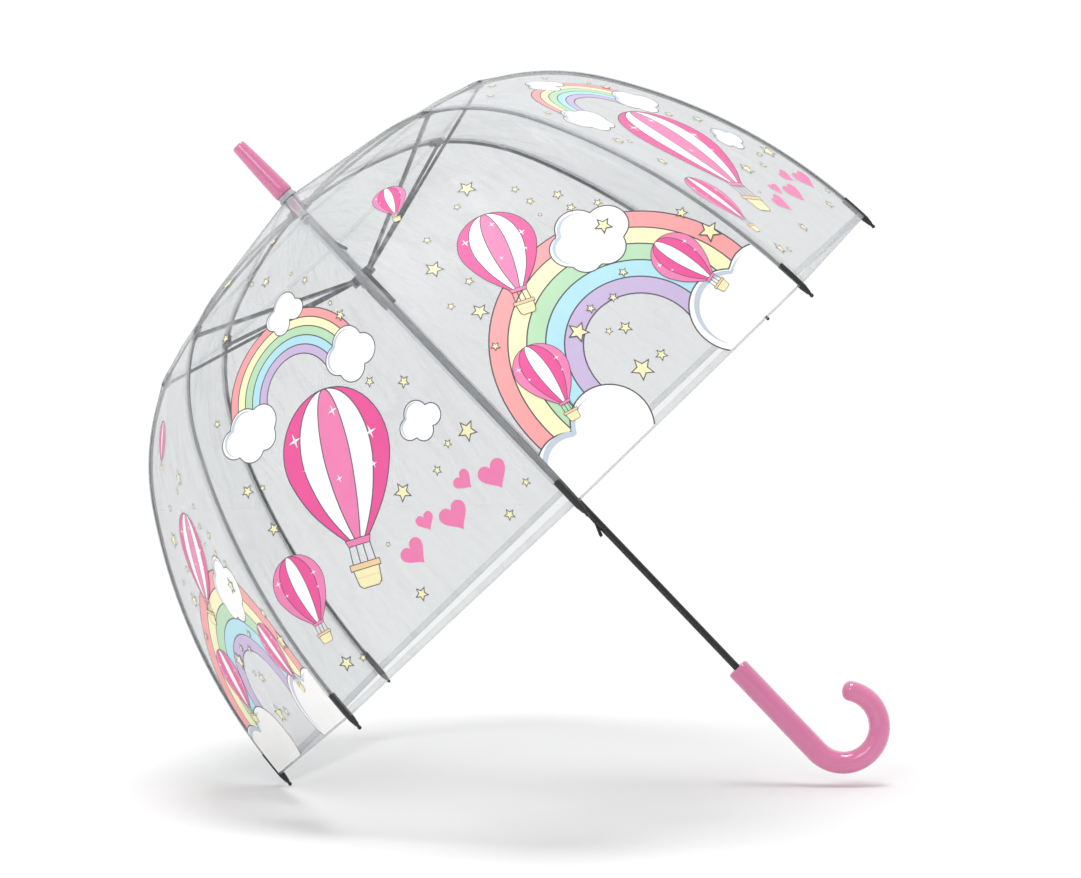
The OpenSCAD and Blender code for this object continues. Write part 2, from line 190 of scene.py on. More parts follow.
film_finish = clear_film("eva_film_calendered", (0.934, 0.938, 0.941, 1), 0.022)
# where the film is welded double it looks greyer and whiter
weld_finish = clear_film("eva_film_welded_seam", (0.90, 0.905, 0.91, 1), 0.12)
print("film finishes:", film_finish.name, weld_finish.name)

# %% [markdown]
# The pictures are screen-printed ink: flat, opaque and slightly satin. Ink on film
# isn't one even colour. The mesh of the screen leaves a faint grain, drawn here at
# 0.6 mm because the real 0.1 mm mesh is too fine to show, and the ink layer varies a
# little over some 15 mm. One function makes each colour.

# %% Screen-print inks
def print_ink(name, hex_code):
    """Screen-printed vinyl ink, satin, with a faint mesh grain."""
    material, tree, output = new_finish(name)
    where = add(tree, "ShaderNodeTexCoord")
    grain = add(tree, "ShaderNodeTexNoise", {"Vector": where.outputs["Object"]},
                Scale=1 / (0.6 * MM), Detail=2.0, Roughness=0.5)
    cloudy = add(tree, "ShaderNodeTexNoise", {"Vector": where.outputs["Object"]},
                 Scale=1 / (15 * MM), Detail=3.0, Roughness=0.5)
    both = add(tree, "ShaderNodeMath", {0: grain.outputs["Fac"], 1: cloudy.outputs["Fac"]},
               operation="ADD")
    level = add(tree, "ShaderNodeMapRange", {"Value": both.outputs["Value"]},
                From_Min=0.7, From_Max=1.3, To_Min=0.955, To_Max=1.02)
    colour = add(tree, "ShaderNodeHueSaturation", {"Value": level.outputs["Result"]},
                 Color=linear(hex_code))
    bump = add(tree, "ShaderNodeBump", {"Height": grain.outputs["Fac"]},
               Strength=0.12, Distance=0.00005)
    ink = add(tree, "ShaderNodeBsdfPrincipled", {"Base Color": colour.outputs["Color"],
              "Normal": bump.outputs["Normal"]}, Roughness=0.42, IOR=1.48)
    tree.links.new(ink.outputs["BSDF"], output.inputs["Surface"])
    return material


INKS = {
    "outline": "#55515a", "white": "#fdfdfc", "shade": "#c3cddc", "sun": "#f7f1bd",
    "hot": "#ec569c", "rose": "#f083b5", "candy": "#ee7fb1", "coral": "#f6a3a3",
    "lemon": "#faf6c4", "mint": "#b9dfb9", "sky": "#b2e2ee", "lilac": "#c9b7dc",
    "wicker": "#f3cfa0",
}
ink = {colour: print_ink("screen_ink_" + colour, code) for colour, code in INKS.items()}
ink_order = list(ink)
print(len(ink), "inks mixed")

# %% [markdown]
# The canopy's shape is known: each rib is three arcs in a row, flat at the crown,
# bent at the shoulder and straight at the skirt. The film lies 0.4 mm over the ribs,
# and between two ribs it spans straight across. So a place on a panel is given by
# two lengths on the flat film: u across from its middle, and s down from the crown.
# One function turns them into a place in space, and the film, its seams, its hem and
# the inks all use it, so they lie on each other however the film curves.

# %% Where a place on the film is in space
PANELS = 8
HALF = math.radians(180 / PANELS)
RIB = (118.0, 129.0, 224.0)       # arc lengths of a rib, mm
SLOPE = (0.0, 12.5, 56.5, 87.0)   # slope at each arc's end, degrees below level
RIB_START = (8.0, 511.2)          # the rib's pivot: distance from the axis, and height
JOINT = 38.0                      # strut joint, mm along the shoulder
OVER = 1.82                       # from the rib's centre line to the middle of the film
HEM_SLOPE = 86.66

arcs, at = [], Vector(RIB_START)
for length, first, last in zip(RIB, SLOPE, SLOPE[1:]):
    radius = length / math.radians(last - first)
    middle = at - radius * Vector((math.sin(math.radians(first)), math.cos(math.radians(first))))
    arcs.append((middle, radius, math.radians(first), math.radians(last)))
    at = middle + radius * Vector((math.sin(math.radians(last)), math.cos(math.radians(last))))

under_collar = Vector((6.9, 522.7))
reach = under_collar - arcs[0][0]
meet = math.acos((arcs[0][1] + OVER) / reach.length) + math.atan2(reach.x, reach.y)
straight = math.sqrt(reach.length ** 2 - (arcs[0][1] + OVER) ** 2)
bends = [(arcs[0][0], arcs[0][1] + OVER, meet, arcs[0][3]),
         (arcs[1][0], arcs[1][1] + OVER, arcs[1][2], arcs[1][3]),
         (arcs[2][0], arcs[2][1] + OVER, arcs[2][2], math.radians(HEM_SLOPE))]
S_HEM = straight + sum(radius * (b - a) for _, radius, a, b in bends)
S_JOINT = straight + bends[0][1] * (bends[0][3] - meet) + JOINT * bends[1][1] / arcs[1][1]
print(f"panel: {S_HEM:.1f} mm from collar to hem, folds at {S_JOINT:.1f} mm")


def profile(s, rise=0.0):
    """(radius, height, slope) in the rib's plane at s mm down the film, rise mm above it."""
    if s < straight:
        p, slope = under_collar + s * Vector((math.cos(meet), -math.sin(meet))), meet
    else:
        s -= straight
        for middle, radius, a, b in bends:
            slope = a + s / radius
            if slope <= b or b == bends[-1][3]:
                break
            s -= radius * (b - a)
        p = middle + radius * Vector((math.sin(slope), math.cos(slope)))
    p = p + rise * Vector((math.sin(slope), math.cos(slope)))
    return p.x, p.y, slope


def half_width(s):
    return profile(s)[0] * math.sin(HALF)


FORK_LIFT, SAG_UPPER, SAG_LOWER, RIPPLE = 1.5, 1.1, 2.2, 0.7     # mm


def joint_lift(s, from_seam):
    """The film rises over the fork of a strut joint, mm."""
    along = math.exp(-((s - S_JOINT + 2) / 8) ** 2)
    return FORK_LIFT * along * math.exp(-(max(0.0, from_seam - 1) / 6) ** 2)


def slack(panel, u, s):
    """How far the film sags in and ripples, mm. Nothing at the seams, the crown and the fold."""
    w = half_width(s)
    across = max(0.0, 1 - (u / w) ** 2)
    if s < S_JOINT:
        along = math.sin(math.pi * s / S_JOINT)
    else:
        along = math.sin(math.pi * min(1.0, (s - S_JOINT) / (S_HEM - S_JOINT)) * 0.88)
    sag = -(SAG_UPPER if s < S_JOINT else SAG_LOWER) * across * along
    ripple = noise.noise(Vector((2.4 * u / w, s / 95, 7.3 * panel)))
    return sag + RIPPLE * ripple * across * along + joint_lift(s, w - abs(u))


def on_film(panel, u, s, rise=0.0):
    """The place in metres of (u, s) on a panel, rise mm above the film."""
    r, z, slope = profile(s, rise + slack(panel, u, s))
    turn = HALF + 2 * HALF * (panel - 1)
    x = r * math.cos(HALF)
    return Vector((x * math.cos(turn) - u * math.sin(turn),
                   x * math.sin(turn) + u * math.cos(turn), z)) * MM


# %% [markdown]
# Every new piece is made the same way at the end: its bmesh becomes an object at the
# origin, its faces point outwards, and it rides on the CAD body that carries it.

# %% Finish a piece
def face_outwards(bm):
    """Turns an open sheet's faces away from the umbrella's middle."""
    if sum(f.normal.dot(f.calc_center_median().normalized()) for f in bm.faces) < 0:
        bmesh.ops.reverse_faces(bm, faces=bm.faces)


def finish_piece(name, bm, finishes, smooth=True):
    """Turns a bmesh into a piece at the origin, with its finishes in slot order."""
    mesh = bpy.data.meshes.new(name)
    bm.to_mesh(mesh)
    bm.free()
    for finish in finishes:
        mesh.materials.append(finish)
    mesh.polygons.foreach_set("use_smooth", [smooth] * len(mesh.polygons))
    piece = bpy.data.objects.new(name, mesh)
    bpy.context.scene.collection.objects.link(piece)
    return piece


GATHER_AT = {"upper": 60.0, "lower": 250.0}       # a place on the panel's middle line, mm


def gather(piece, panel, half):
    """The piece closes with the 'upper' or 'lower' half of its panel."""
    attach(piece, f"panel_{half}_{panel}")
    tuple(on_film(panel, 0.0, GATHER_AT[half]))
    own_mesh(piece)


# %% [markdown]
# Each of the eight panels is one gore of film, 0.15 mm thick. It bends where the ribs
# fold, so it is made in an upper and a lower half that share their edge. A flat grid
# is laid out in (u, s), moved onto the canopy's shape, and given its thickness with
# the solidify operator. At the bottom, the film turns in and up again for 5 mm: that
# is the hem. The flat size of each half is worked out before it is shaped.

# %% Film panels
FILM, HEM = 0.15, 5.0          # the film's thickness and the hem's height, mm


def lay_film(panel, first, last, rows, columns, hem=0.0):
    """A grid from s = first to last, shaped on the canopy. hem adds a fold of that height."""
    bm = bmesh.new()
    bmesh.ops.create_grid(bm, x_segments=columns, y_segments=rows, size=0.5)
    uv = bm.loops.layers.uv.new("film")
    flat = {}
    for v in bm.verts:
        flat[v] = (2 * v.co.x, first + (v.co.y + 0.5) * (last - first))
    if hem:
        # the hem, as (below the edge, inside the film) in mm: round the fold, then up
        edge = [e for e in bm.edges if all(abs(flat[v][1] - last) < 1e-6 for v in e.verts)]
        for drop, back in ((0.35, 0.3), (-hem * 0.5, 0.62), (-hem, 0.62)):
            out = bmesh.ops.extrude_edge_only(bm, edges=edge)["geom"]
            source = {round(v.co.x, 6): flat[v][0] for e in edge for v in e.verts}
            for v in (g for g in out if isinstance(g, bmesh.types.BMVert)):
                flat[v] = (source[round(v.co.x, 6)], last + drop, -back)
            edge = [g for g in out if isinstance(g, bmesh.types.BMEdge)]
    for v in bm.verts:
        share, s = flat[v][:2]
        rise = flat[v][2] if len(flat[v]) > 2 else 0.0
        s_in = min(s, last)
        p = on_film(panel, share * half_width(s_in), s_in, rise)
        if s > last:
            p.z -= (s - last) * MM
        flat[v] = (share * half_width(s_in), s)
        v.co = p
    for face in bm.faces:
        for loop in face.loops:
            loop[uv].uv = flat[loop.vert]
    bmesh.ops.recalc_face_normals(bm, faces=bm.faces)
    face_outwards(bm)
    bmesh.ops.solidify(bm, geom=bm.faces[:], thickness=FILM * MM)
    return bm


def flat_area(first, last, hem=0.0):
    """Flat area of a piece of a gore, in square metres."""
    steps = 60
    total = sum(2 * half_width(first + (last - first) * (i + 0.5) / steps) for i in range(steps))
    return (total * (last - first) / steps + 2 * half_width(last) * hem) * MM * MM


# half, rib under it, from, to, rows, columns, hem
HALVES = (("upper", "inner", 0.0, S_JOINT, 24, 12, 0.0),
          ("lower", "outer", S_JOINT, S_HEM, 44, 16, HEM))
for panel in range(1, PANELS + 1):
    for half, under, first, last, rows, columns, hem in HALVES:
        film = finish_piece(f"film_{half}_{panel}",
                            lay_film(panel, first, last, rows, columns, hem), [film_finish])
        gather(film, panel, half)
        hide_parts(f"panel_{half}_{panel}")
        2 * half_width(last) * MM
        flat_area(first, last, hem)
print(f"film: upper half {flat_area(0, S_JOINT) * 1e4:.0f} cm2, "
      f"lower half {flat_area(S_JOINT, S_HEM, HEM) * 1e4:.0f} cm2, eight of each")

# %% [markdown]
# Neighbouring gores are welded along the ribs. A weld is film on film, so it is
# greyer and milkier than the panel. Here it is a strip of its own over each rib, and
# it rides on the rib, because the rib holds it while the panels fold.

# %% Welded seams
SEAM_WIDE, SEAM_THICK, SEAM_RISE = 6.5, 0.12, 0.32     # mm, rise above the film's middle
SEAM_TOP, TIP_ROOM = 2.0, 19.0                         # free at the collar and at the tip, mm


def lay_seam(rib, first, last, rows, width):
    """A strip of doubled film over a rib, following the two panels that meet there."""
    bm = bmesh.new()
    bmesh.ops.create_grid(bm, x_segments=4, y_segments=rows, size=0.5)
    uv = bm.loops.layers.uv.new("film")
    turn = 2 * HALF * (rib - 1)
    flat = {}
    for v in bm.verts:
        s = first + (v.co.y + 0.5) * (last - first)
        t = 2 * v.co.x * min(width / 2, 0.8 * half_width(s))
        r, z, _ = profile(s, SEAM_RISE + joint_lift(s, 0.0))
        r -= abs(t) * math.tan(HALF)
        flat[v] = (t, s)
        v.co = Vector((r * math.cos(turn) - t * math.sin(turn),
                       r * math.sin(turn) + t * math.cos(turn), z)) * MM
    for face in bm.faces:
        for loop in face.loops:
            loop[uv].uv = flat[loop.vert]
    bmesh.ops.recalc_face_normals(bm, faces=bm.faces)
    face_outwards(bm)
    bmesh.ops.solidify(bm, geom=bm.faces[:], thickness=SEAM_THICK * MM)
    return bm


for rib in range(1, PANELS + 1):
    for half, part, first, last, rows in (("upper", "inner", SEAM_TOP, S_JOINT, 24),
                                          ("lower", "outer", S_JOINT, S_HEM - TIP_ROOM, 44)):
        seam = finish_piece(f"seam_{half}_{rib}", lay_seam(rib, first, last, rows, SEAM_WIDE),
                            [weld_finish])
        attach(seam, f"rib_{part}_{rib}")
print(f"seams: {SEAM_WIDE} mm wide over each rib")

# %% [markdown]
# The pictures are drawn flat in (u, s), like the artwork for the screens. Each shape
# is a closed outline. Insetting its face gives the dark printed line as a ring of its
# own, so line and colour lie side by side and look right from inside too. A shape is
# then cut every 6 mm down and 10 mm across, so that it can bend, and at the fold, so
# that each half travels with its own film. Shapes printed later lie 0.06 mm higher.
# Real ink is thinner, but so close to the film its edges would flicker.

# %% Draw shapes flat
class Artwork:
    """The flat artwork of one panel: faces in (u, s), with z as the order of printing."""

    def __init__(self):
        self.bm = bmesh.new()

    def shape(self, points, colour, line=0.7, layer=1, edge="outline"):
        """A closed shape, points in (u, s) mm. line is the width of its printed edge."""
        bm = bmesh.new()
        face = bm.faces.new([bm.verts.new((u, s, 0.0)) for u, s in points])
        bm.normal_update()
        if face.normal.z < 0:
            face.normal_flip()
        face.material_index = ink_order.index(colour)
        if line:
            # a lone face is inset only with use_boundary
            ring = bmesh.ops.inset_region(bm, faces=[face], thickness=line, use_even_offset=True,
                                          use_boundary=True)
            for part in ring["faces"]:
                part.material_index = ink_order.index(edge)
        self.merge(bm, layer)

    def merge(self, bm, layer):
        """Adds a drawn shape to the artwork at its layer."""
        bmesh.ops.triangulate(bm, faces=bm.faces[:], ngon_method="EAR_CLIP")
        bmesh.ops.translate(bm, vec=(0, 0, layer), verts=bm.verts[:])
        mesh = bpy.data.meshes.new("shape")
        bm.to_mesh(mesh)
        bm.free()
        self.bm.from_mesh(mesh)
        bpy.data.meshes.remove(mesh)


def placed(points, middle, tilt):
    """Points drawn upright around the origin (x right, y up) put at middle, tilted right."""
    ct, st = math.cos(math.radians(tilt)), math.sin(math.radians(tilt))
    return [(middle[0] + x * ct + y * st, middle[1] - (y * ct - x * st)) for x, y in points]


def brush(points, width, taper=False):
    """The outline of a brush stroke along points. A tapered stroke is thin at both ends."""
    sides = ([], [])
    last = len(points) - 1
    for i, p in enumerate(points):
        way = (Vector(points[min(i + 1, last)]) - Vector(points[max(i - 1, 0)])).normalized()
        half = width / 2 * (max(0.08, math.sin(math.pi * i / last)) if taper else 1.0)
        sides[0].append((p[0] - way.y * half, p[1] + way.x * half))
        sides[1].append((p[0] + way.y * half, p[1] - way.x * half))
    return sides[0] + sides[1][::-1]


# %% Stars, hearts and sparkles
def rays(size, count, waist):
    """A star with count points. Its inner corners lie at share waist of its size."""
    return [((size if i % 2 == 0 else waist * size) * math.sin(math.pi * i / count),
             (size if i % 2 == 0 else waist * size) * math.cos(math.pi * i / count))
            for i in range(2 * count)]


def star(art, u, s, size, tilt):
    """A pale yellow star with a line that is finer on small ones."""
    art.shape(placed(rays(size, 5, 0.46), (u, s), tilt), "sun",
              line=min(0.75, 0.1 * size + 0.12), layer=8)


def heart(art, u, s, size, tilt):
    """A plain pink heart without a line."""
    points = []
    for i in range(36):
        a = 2 * math.pi * (i + 0.5) / 36
        points.append((size * math.sin(a) ** 3,
                       size * (0.81 * math.cos(a) - 0.31 * math.cos(2 * a)
                               - 0.12 * math.cos(3 * a) - 0.05 * math.cos(4 * a))))
    art.shape(placed(points, (u, s), tilt), "candy", line=0, layer=5)


def sparkle(art, u, s, size, layer):
    """A white glint with four points."""
    art.shape(placed(rays(size, 4, 0.22), (u, s), 12), "white", line=0, layer=layer)


# %% Clouds
def cloud(art, puffs, layer, line=0.75):
    """One outline round several round puffs (u, s, radius), with a blue-grey inner shade."""
    mu = sum(p[0] * p[2] for p in puffs) / sum(p[2] for p in puffs)
    ms = sum(p[1] * p[2] for p in puffs) / sum(p[2] for p in puffs)
    rim = []
    for i in range(96):
        a = 2 * math.pi * i / 96
        cx, cy = math.cos(a), math.sin(a)
        far = 1.0
        for u, s, r in puffs:
            x, y = u - mu, s - ms
            off = (x * cy - y * cx) ** 2
            if off < r * r:
                far = max(far, x * cx + y * cy + math.sqrt(r * r - off))
        rim.append((far * cx, far * cy))
    art.shape([(mu + x, ms + y) for x, y in rim], "white", line=line, layer=layer)
    # a blue-grey brush stroke inside the upper left of the edge
    size = max(math.hypot(x, y) for x, y in rim)
    inside = [(mu + 0.87 * x, ms + 0.87 * y) for x, y in rim[44:82]]
    art.shape(brush(inside, 0.085 * size, taper=True), "shade", line=0, layer=layer + 1)


# %% Rainbows
BANDS = ("coral", "lemon", "mint", "sky", "lilac")


def rainbow(art, middle, outer, inner, start, sweep, line=0.8, layer=1):
    """Five bands and six lines, spun about middle. Degrees count from the right, over the top."""
    bm = bmesh.new()
    step = (outer - inner) / 5
    radii, finish = [outer + line / 2], []
    for i in range(6):
        edge = outer - i * step
        if i:
            radii.append(edge + line / 2)
            finish.append(BANDS[i - 1])
        radii.append(edge - line / 2)
        finish.append("outline")
    a = math.radians(start)
    row = [bm.verts.new((middle[0] + r * math.cos(a), middle[1] - r * math.sin(a), 0))
           for r in radii]
    edges = [bm.edges.new(pair) for pair in zip(row, row[1:])]
    bmesh.ops.spin(bm, geom=edges, cent=(*middle, 0), axis=(0, 0, -1), angle=math.radians(sweep),
                   steps=max(12, int(sweep / 4)), use_merge=False)
    for face in bm.faces:
        c = face.calc_center_median()
        r = math.dist((c.x, c.y), middle)
        spot = min(range(len(finish)), key=lambda i: abs((radii[i] + radii[i + 1]) / 2 - r))
        face.material_index = ink_order.index(finish[spot])
    bmesh.ops.recalc_face_normals(bm, faces=bm.faces)
    if bm.faces[:][0].normal.z < 0:
        bmesh.ops.reverse_faces(bm, faces=bm.faces)
    art.merge(bm, layer)


# %% [markdown]
# The big pictures between the rainbows are hot-air balloons in hot pink, rose and
# white. Five gores of the envelope show. Each runs from the top of the balloon to its
# mouth between two bulging lines, so it is one closed shape from two half-outlines.
# The lines are brushed on top, because an inset would spike at the gores' sharp ends.

# %% Balloons
BIG = ("hot", "white", "rose", "white", "hot")
SMALL = ("rose", "hot", "white", "hot", "rose")


def balloon(art, u, s, size, tilt, colours=BIG, layer=5):
    """A hot-air balloon with its envelope's middle at (u, s) and radius size."""
    line = max(0.35, min(0.75, size / 45))

    def edge(x):
        """A line from top to mouth at share x of the width, as (x, y) in shares of size."""
        points = []
        for i in range(25):
            a = math.pi * i / 24
            if a < 1.9:
                y, w = math.cos(a), math.sin(a)
            else:
                k = (a - 1.9) / (math.pi - 1.9)
                y = math.cos(1.9) - k * 1.12
                w = math.sin(1.9) * (1 - k) + 0.20 * k + 0.10 * math.sin(math.pi * k)
            points.append((size * w * x, size * y))
        return points

    cuts = (-1.0, -0.66, -0.25, 0.25, 0.66, 1.0)
    order = sorted(range(5), key=lambda i: -abs(i - 2))
    for i in order:
        left, right = edge(cuts[i]), edge(cuts[i + 1])
        outline = left[:1] + right[1:] + left[:0:-1]
        art.shape(placed(outline, (u, s), tilt), colours[i], line=0, layer=layer)
    for x in cuts:
        art.shape(placed(brush(edge(x), line), (u, s), tilt), "outline", line=0, layer=layer + 1)
    mouth = edge(1.0)[-1][1]
    band = [(-0.24 * size, mouth + 0.02 * size), (0.24 * size, mouth + 0.02 * size),
            (0.20 * size, mouth - 0.10 * size), (-0.20 * size, mouth - 0.10 * size)]
    art.shape(placed(band, (u, s), tilt), "rose", line=line * 0.8, layer=layer + 2)
    top, low = mouth - 0.42 * size, mouth - 0.78 * size
    for side in (-1, -0.33, 0.33, 1):
        rope = [(side * 0.19 * size - line / 2, mouth - 0.08 * size),
                (side * 0.19 * size + line / 2, mouth - 0.08 * size),
                (side * 0.21 * size + line / 2, top), (side * 0.21 * size - line / 2, top)]
        art.shape(placed(rope, (u, s), tilt), "outline", line=0, layer=layer)
    basket = [(-0.25 * size, top), (0.25 * size, top), (0.21 * size, low + 0.06 * size),
              (0.15 * size, low), (-0.15 * size, low), (-0.21 * size, low + 0.06 * size)]
    art.shape(placed(basket, (u, s), tilt), "sun", line=line, layer=layer + 1)
    rim = [(-0.28 * size, top + 0.05 * size), (0.28 * size, top + 0.05 * size),
           (0.28 * size, top - 0.06 * size), (-0.28 * size, top - 0.06 * size)]
    art.shape(placed(rim, (u, s), tilt), "wicker", line=line * 0.8, layer=layer + 2)
    for row in (0.20, 0.38):
        weave = [(-0.22 * size, top - row * size * 0.9), (0.22 * size, top - row * size * 0.9)]
        art.shape(placed(brush(weave, line * 0.5), (u, s), tilt), "wicker", line=0, layer=layer + 2)
    for x, y, r in ((-0.72, 0.35, 0.13), (-0.60, -0.15, 0.08), (0.70, 0.10, 0.12),
                    (0.10, 0.62, 0.10), (-0.05, -0.45, 0.07), (0.62, -0.40, 0.07)):
        (su, ss), = placed([(x * size, y * size)], (u, s), tilt)
        sparkle(art, su, ss, r * size, layer + 2)


# %% Artwork A: balloon and small rainbow
def artwork_a():
    art = Artwork()
    rainbow(art, (2, 284), 61, 29, 4, 172)
    cloud(art, [(12, 223, 8), (24, 220, 11), (31, 229, 8), (16, 231, 8)], 2)
    cloud(art, [(41, 286, 11), (53, 282, 13), (61, 293, 11), (47, 297, 11)], 2)
    cloud(art, [(-61, 275, 11), (-47, 272, 14), (-33, 277, 12), (-51, 285, 12), (-38, 287, 10)], 2)
    cloud(art, [(56, 360, 8), (66, 356, 10), (75, 363, 8), (64, 367, 8)], 2)
    balloon(art, 2, 333, 43, 24)
    balloon(art, -79, 384, 20, 12, SMALL)
    heart(art, 3, 423, 10, -8)
    heart(art, 24, 413, 7, 10)
    heart(art, 43, 424, 11, 6)
    heart(art, 64, 411, 7.5, -12)
    heart(art, 84, 422, 11, 8)
    for u, s, size, tilt in (
            (-26, 131, 8, 8), (16, 185, 5, -6), (3, 173, 3, 10), (26, 143, 4.5, 0),
            (-9, 107, 3.6, 9), (48, 217, 3.5, 4), (39, 201, 2.2, 0), (58, 249, 2.6, 8),
            (60, 262, 4.6, -8), (-31, 199, 4.6, 6), (52, 315, 4.3, 0), (73, 333, 5.2, 8),
            (-65, 253, 3.4, 0), (-71, 309, 5.4, -8), (-60, 315, 3, 6), (-70, 343, 5.4, 8),
            (72, 386, 3.6, 0), (89, 389, 8, -6), (54, 394, 4, 8), (24, 388, 7.5, 6),
            (-8, 407, 2.2, 0), (98, 441, 3.6, 0), (74, 449, 4.6, 8), (-12, 447, 5.6, -8),
            (-88, 446, 6.2, 4), (-76, 451, 3.4, 8)):
        star(art, u, s, size, tilt)
    return art


# %% Artwork B: large rainbow
def artwork_b():
    art = Artwork()
    rainbow(art, (-1, 431), 104, 41, -14, 208, line=1.0)
    cloud(art, [(-57, 453, 29), (-98, 456, 25), (-78, 470, 22)], 2, line=1.0)
    cloud(art, [(64, 453, 30), (99, 452, 25), (84, 472, 20)], 2, line=1.0)
    cloud(art, [(19, 345, 14), (35, 338, 16), (52, 350, 15), (38, 360, 15), (22, 357, 12)], 2,
          line=0.9)
    balloon(art, -10, 305, 27, 26)
    balloon(art, -62, 393, 19, 14, SMALL)
    balloon(art, 66, 401, 18, -10, SMALL)
    balloon(art, -24, 214, 12, 30, SMALL)
    for u, s, size, tilt in (
            (12, 256, 7.4, 8), (32, 283, 3.4, 0), (47, 309, 4.4, 6), (31, 298, 3.4, 0),
            (45, 323, 4, -6), (60, 334, 3.6, 6), (-4, 262, 3.2, 0), (27, 311, 2, 0),
            (-38, 266, 3.4, 8), (-53, 287, 7.4, -6), (-45, 312, 3.8, 0), (-58, 334, 7, 6),
            (-68, 317, 3.4, 0), (-71, 360, 3.8, 8), (49, 349, 7, 5), (93, 381, 5, -8),
            (96, 404, 8.6, 6), (31, 383, 3.8, 0), (12, 391, 4, 8), (-5, 386, 3.8, 0),
            (-24, 392, 8.2, -6), (-9, 406, 3.2, 0), (1, 412, 5.4, 8), (4, 442, 5, 0),
            (-13, 440, 9, 6)):
        star(art, u, s, size, tilt)
    return art


# %% Bend the artwork onto the film
CUT_DOWN, CUT_ACROSS = 6, 10           # mm between the cuts
INK_RISE, INK_STEP = 0.04, 0.06        # mm: an ink above the film, and each layer more
SEAM_ROOM, CROWN_ROOM, HEM_ROOM = 3.4, 4.0, 1.5     # mm of film left free at the edges
SKIRT = (400.0, 470.0)                 # two heights where the skirt's sides are nearly straight


def print_on(panel, art, first, last):
    """The part of the artwork between two heights, on one panel's film, as one bmesh."""
    bm = art.bm.copy()

    def cut(place, across, clear=False):
        bmesh.ops.bisect_plane(bm, geom=bm.verts[:] + bm.edges[:] + bm.faces[:], dist=1e-5,
                               plane_co=place, plane_no=across, clear_outer=clear)

    for s in range(CUT_DOWN, int(S_HEM), CUT_DOWN):
        if first < s < last:
            cut((0, s, 0), (0, 1, 0))
    for u in range(-11 * CUT_ACROSS, 11 * CUT_ACROSS + 1, CUT_ACROSS):
        cut((u, 0, 0), (1, 0, 0))
    cut((0, first, 0), (0, -1, 0), clear=True)
    cut((0, last, 0), (0, 1, 0), clear=True)
    low, high = (half_width(s) - SEAM_ROOM for s in SKIRT)
    for side in (-1, 1):
        slant = Vector((side * (SKIRT[1] - SKIRT[0]), low - high, 0)).normalized()
        cut((side * low, SKIRT[0], 0), slant, clear=True)
    if not bm.faces:
        bm.free()
        return None
    for v in bm.verts:
        v.co = on_film(panel, v.co.x, v.co.y, FILM / 2 + INK_RISE + INK_STEP * v.co.z)
    bm.normal_update()
    face_outwards(bm)
    return bm


prints = {5: artwork_b, 6: artwork_a, 7: artwork_b, 8: artwork_a}
for panel, drawing in prints.items():
    art = drawing()
    for half, first, last in (("upper", CROWN_ROOM, S_JOINT), ("lower", S_JOINT, S_HEM - HEM_ROOM)):
        bm = print_on(panel, art, first, last)
        if bm is None:
            continue
        count = len(bm.faces)
        layer = finish_piece(f"ink_{half}_{panel}", bm, list(ink.values()), smooth=False)
        gather(layer, panel, half)
        print(f"ink_{half}_{panel}: {count} faces")
    art.bm.free()

# %% [markdown]
# The handle and the ferrule are injection-moulded ABS in one pink, high gloss. A
# mould polished by hand leaves a faint waviness, some 8 mm across, that bends the
# highlights, and use leaves hairline scuffs. The clear gloss is the shader's coat.

# %% Pink gloss plastic
def pink_gloss(name, hex_code):
    """Injection-moulded ABS, polished mould."""
    material, tree, output = new_finish(name)
    where = add(tree, "ShaderNodeTexCoord")
    wave = add(tree, "ShaderNodeTexNoise", {"Vector": where.outputs["Object"]},
               Scale=1 / (8 * MM), Detail=1.0, Roughness=0.4)
    scuff_map = add(tree, "ShaderNodeMapping", {"Vector": where.outputs["Object"]})
    scuff_map.inputs["Scale"].default_value = (1 / (0.5 * MM), 1 / (0.5 * MM), 1 / (12 * MM))
    scuffs = add(tree, "ShaderNodeTexNoise", {"Vector": scuff_map.outputs["Vector"]},
                 Scale=1.0, Detail=3.0, Roughness=0.6)
    rough = ramp(tree, scuffs.outputs["Fac"], [(0.55, 0.13), (0.72, 0.24)])
    tone = add(tree, "ShaderNodeMapRange", {"Value": wave.outputs["Fac"]},
               To_Min=0.97, To_Max=1.03)
    colour = add(tree, "ShaderNodeHueSaturation", {"Value": tone.outputs["Result"]},
                 Color=linear(hex_code))
    bump = add(tree, "ShaderNodeBump", {"Height": wave.outputs["Fac"]}, Strength=0.25,
               Distance=0.0002)
    body = add(tree, "ShaderNodeBsdfPrincipled", {"Base Color": colour.outputs["Color"],
               "Roughness": rough.outputs["Color"], "Normal": bump.outputs["Normal"]},
               IOR=1.52, Coat_Weight=0.6, Coat_Roughness=0.05)
    tree.links.new(body.outputs["BSDF"], output.inputs["Surface"])
    return material


handle_finish = pink_gloss("abs_pink_polished", "#de7da8")

# %% [markdown]
# The handle is a round bar: a straight grip, a hook of 216 degrees that gets a little
# thinner, and a rounded end. A ring is swept along the bar's middle line. The two
# halves of the mould met in the plane of the hook, so the two points of the ring that
# lie in it stand out a little and draw the parting line.

# %% The middle line of the handle
GRIP_LOW, HOOK, TURN = -43.0, 26.8, 216.0     # grip's end and hook's radius, mm, and degrees
THICK, THIN, RIDGE = 8.3, 7.4, 0.16           # radius at the grip and at the end, parting line
BORE, WELL = 2.78, 4.0                        # the hole for the shaft: radius and depth
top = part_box("handle")[1].z / MM


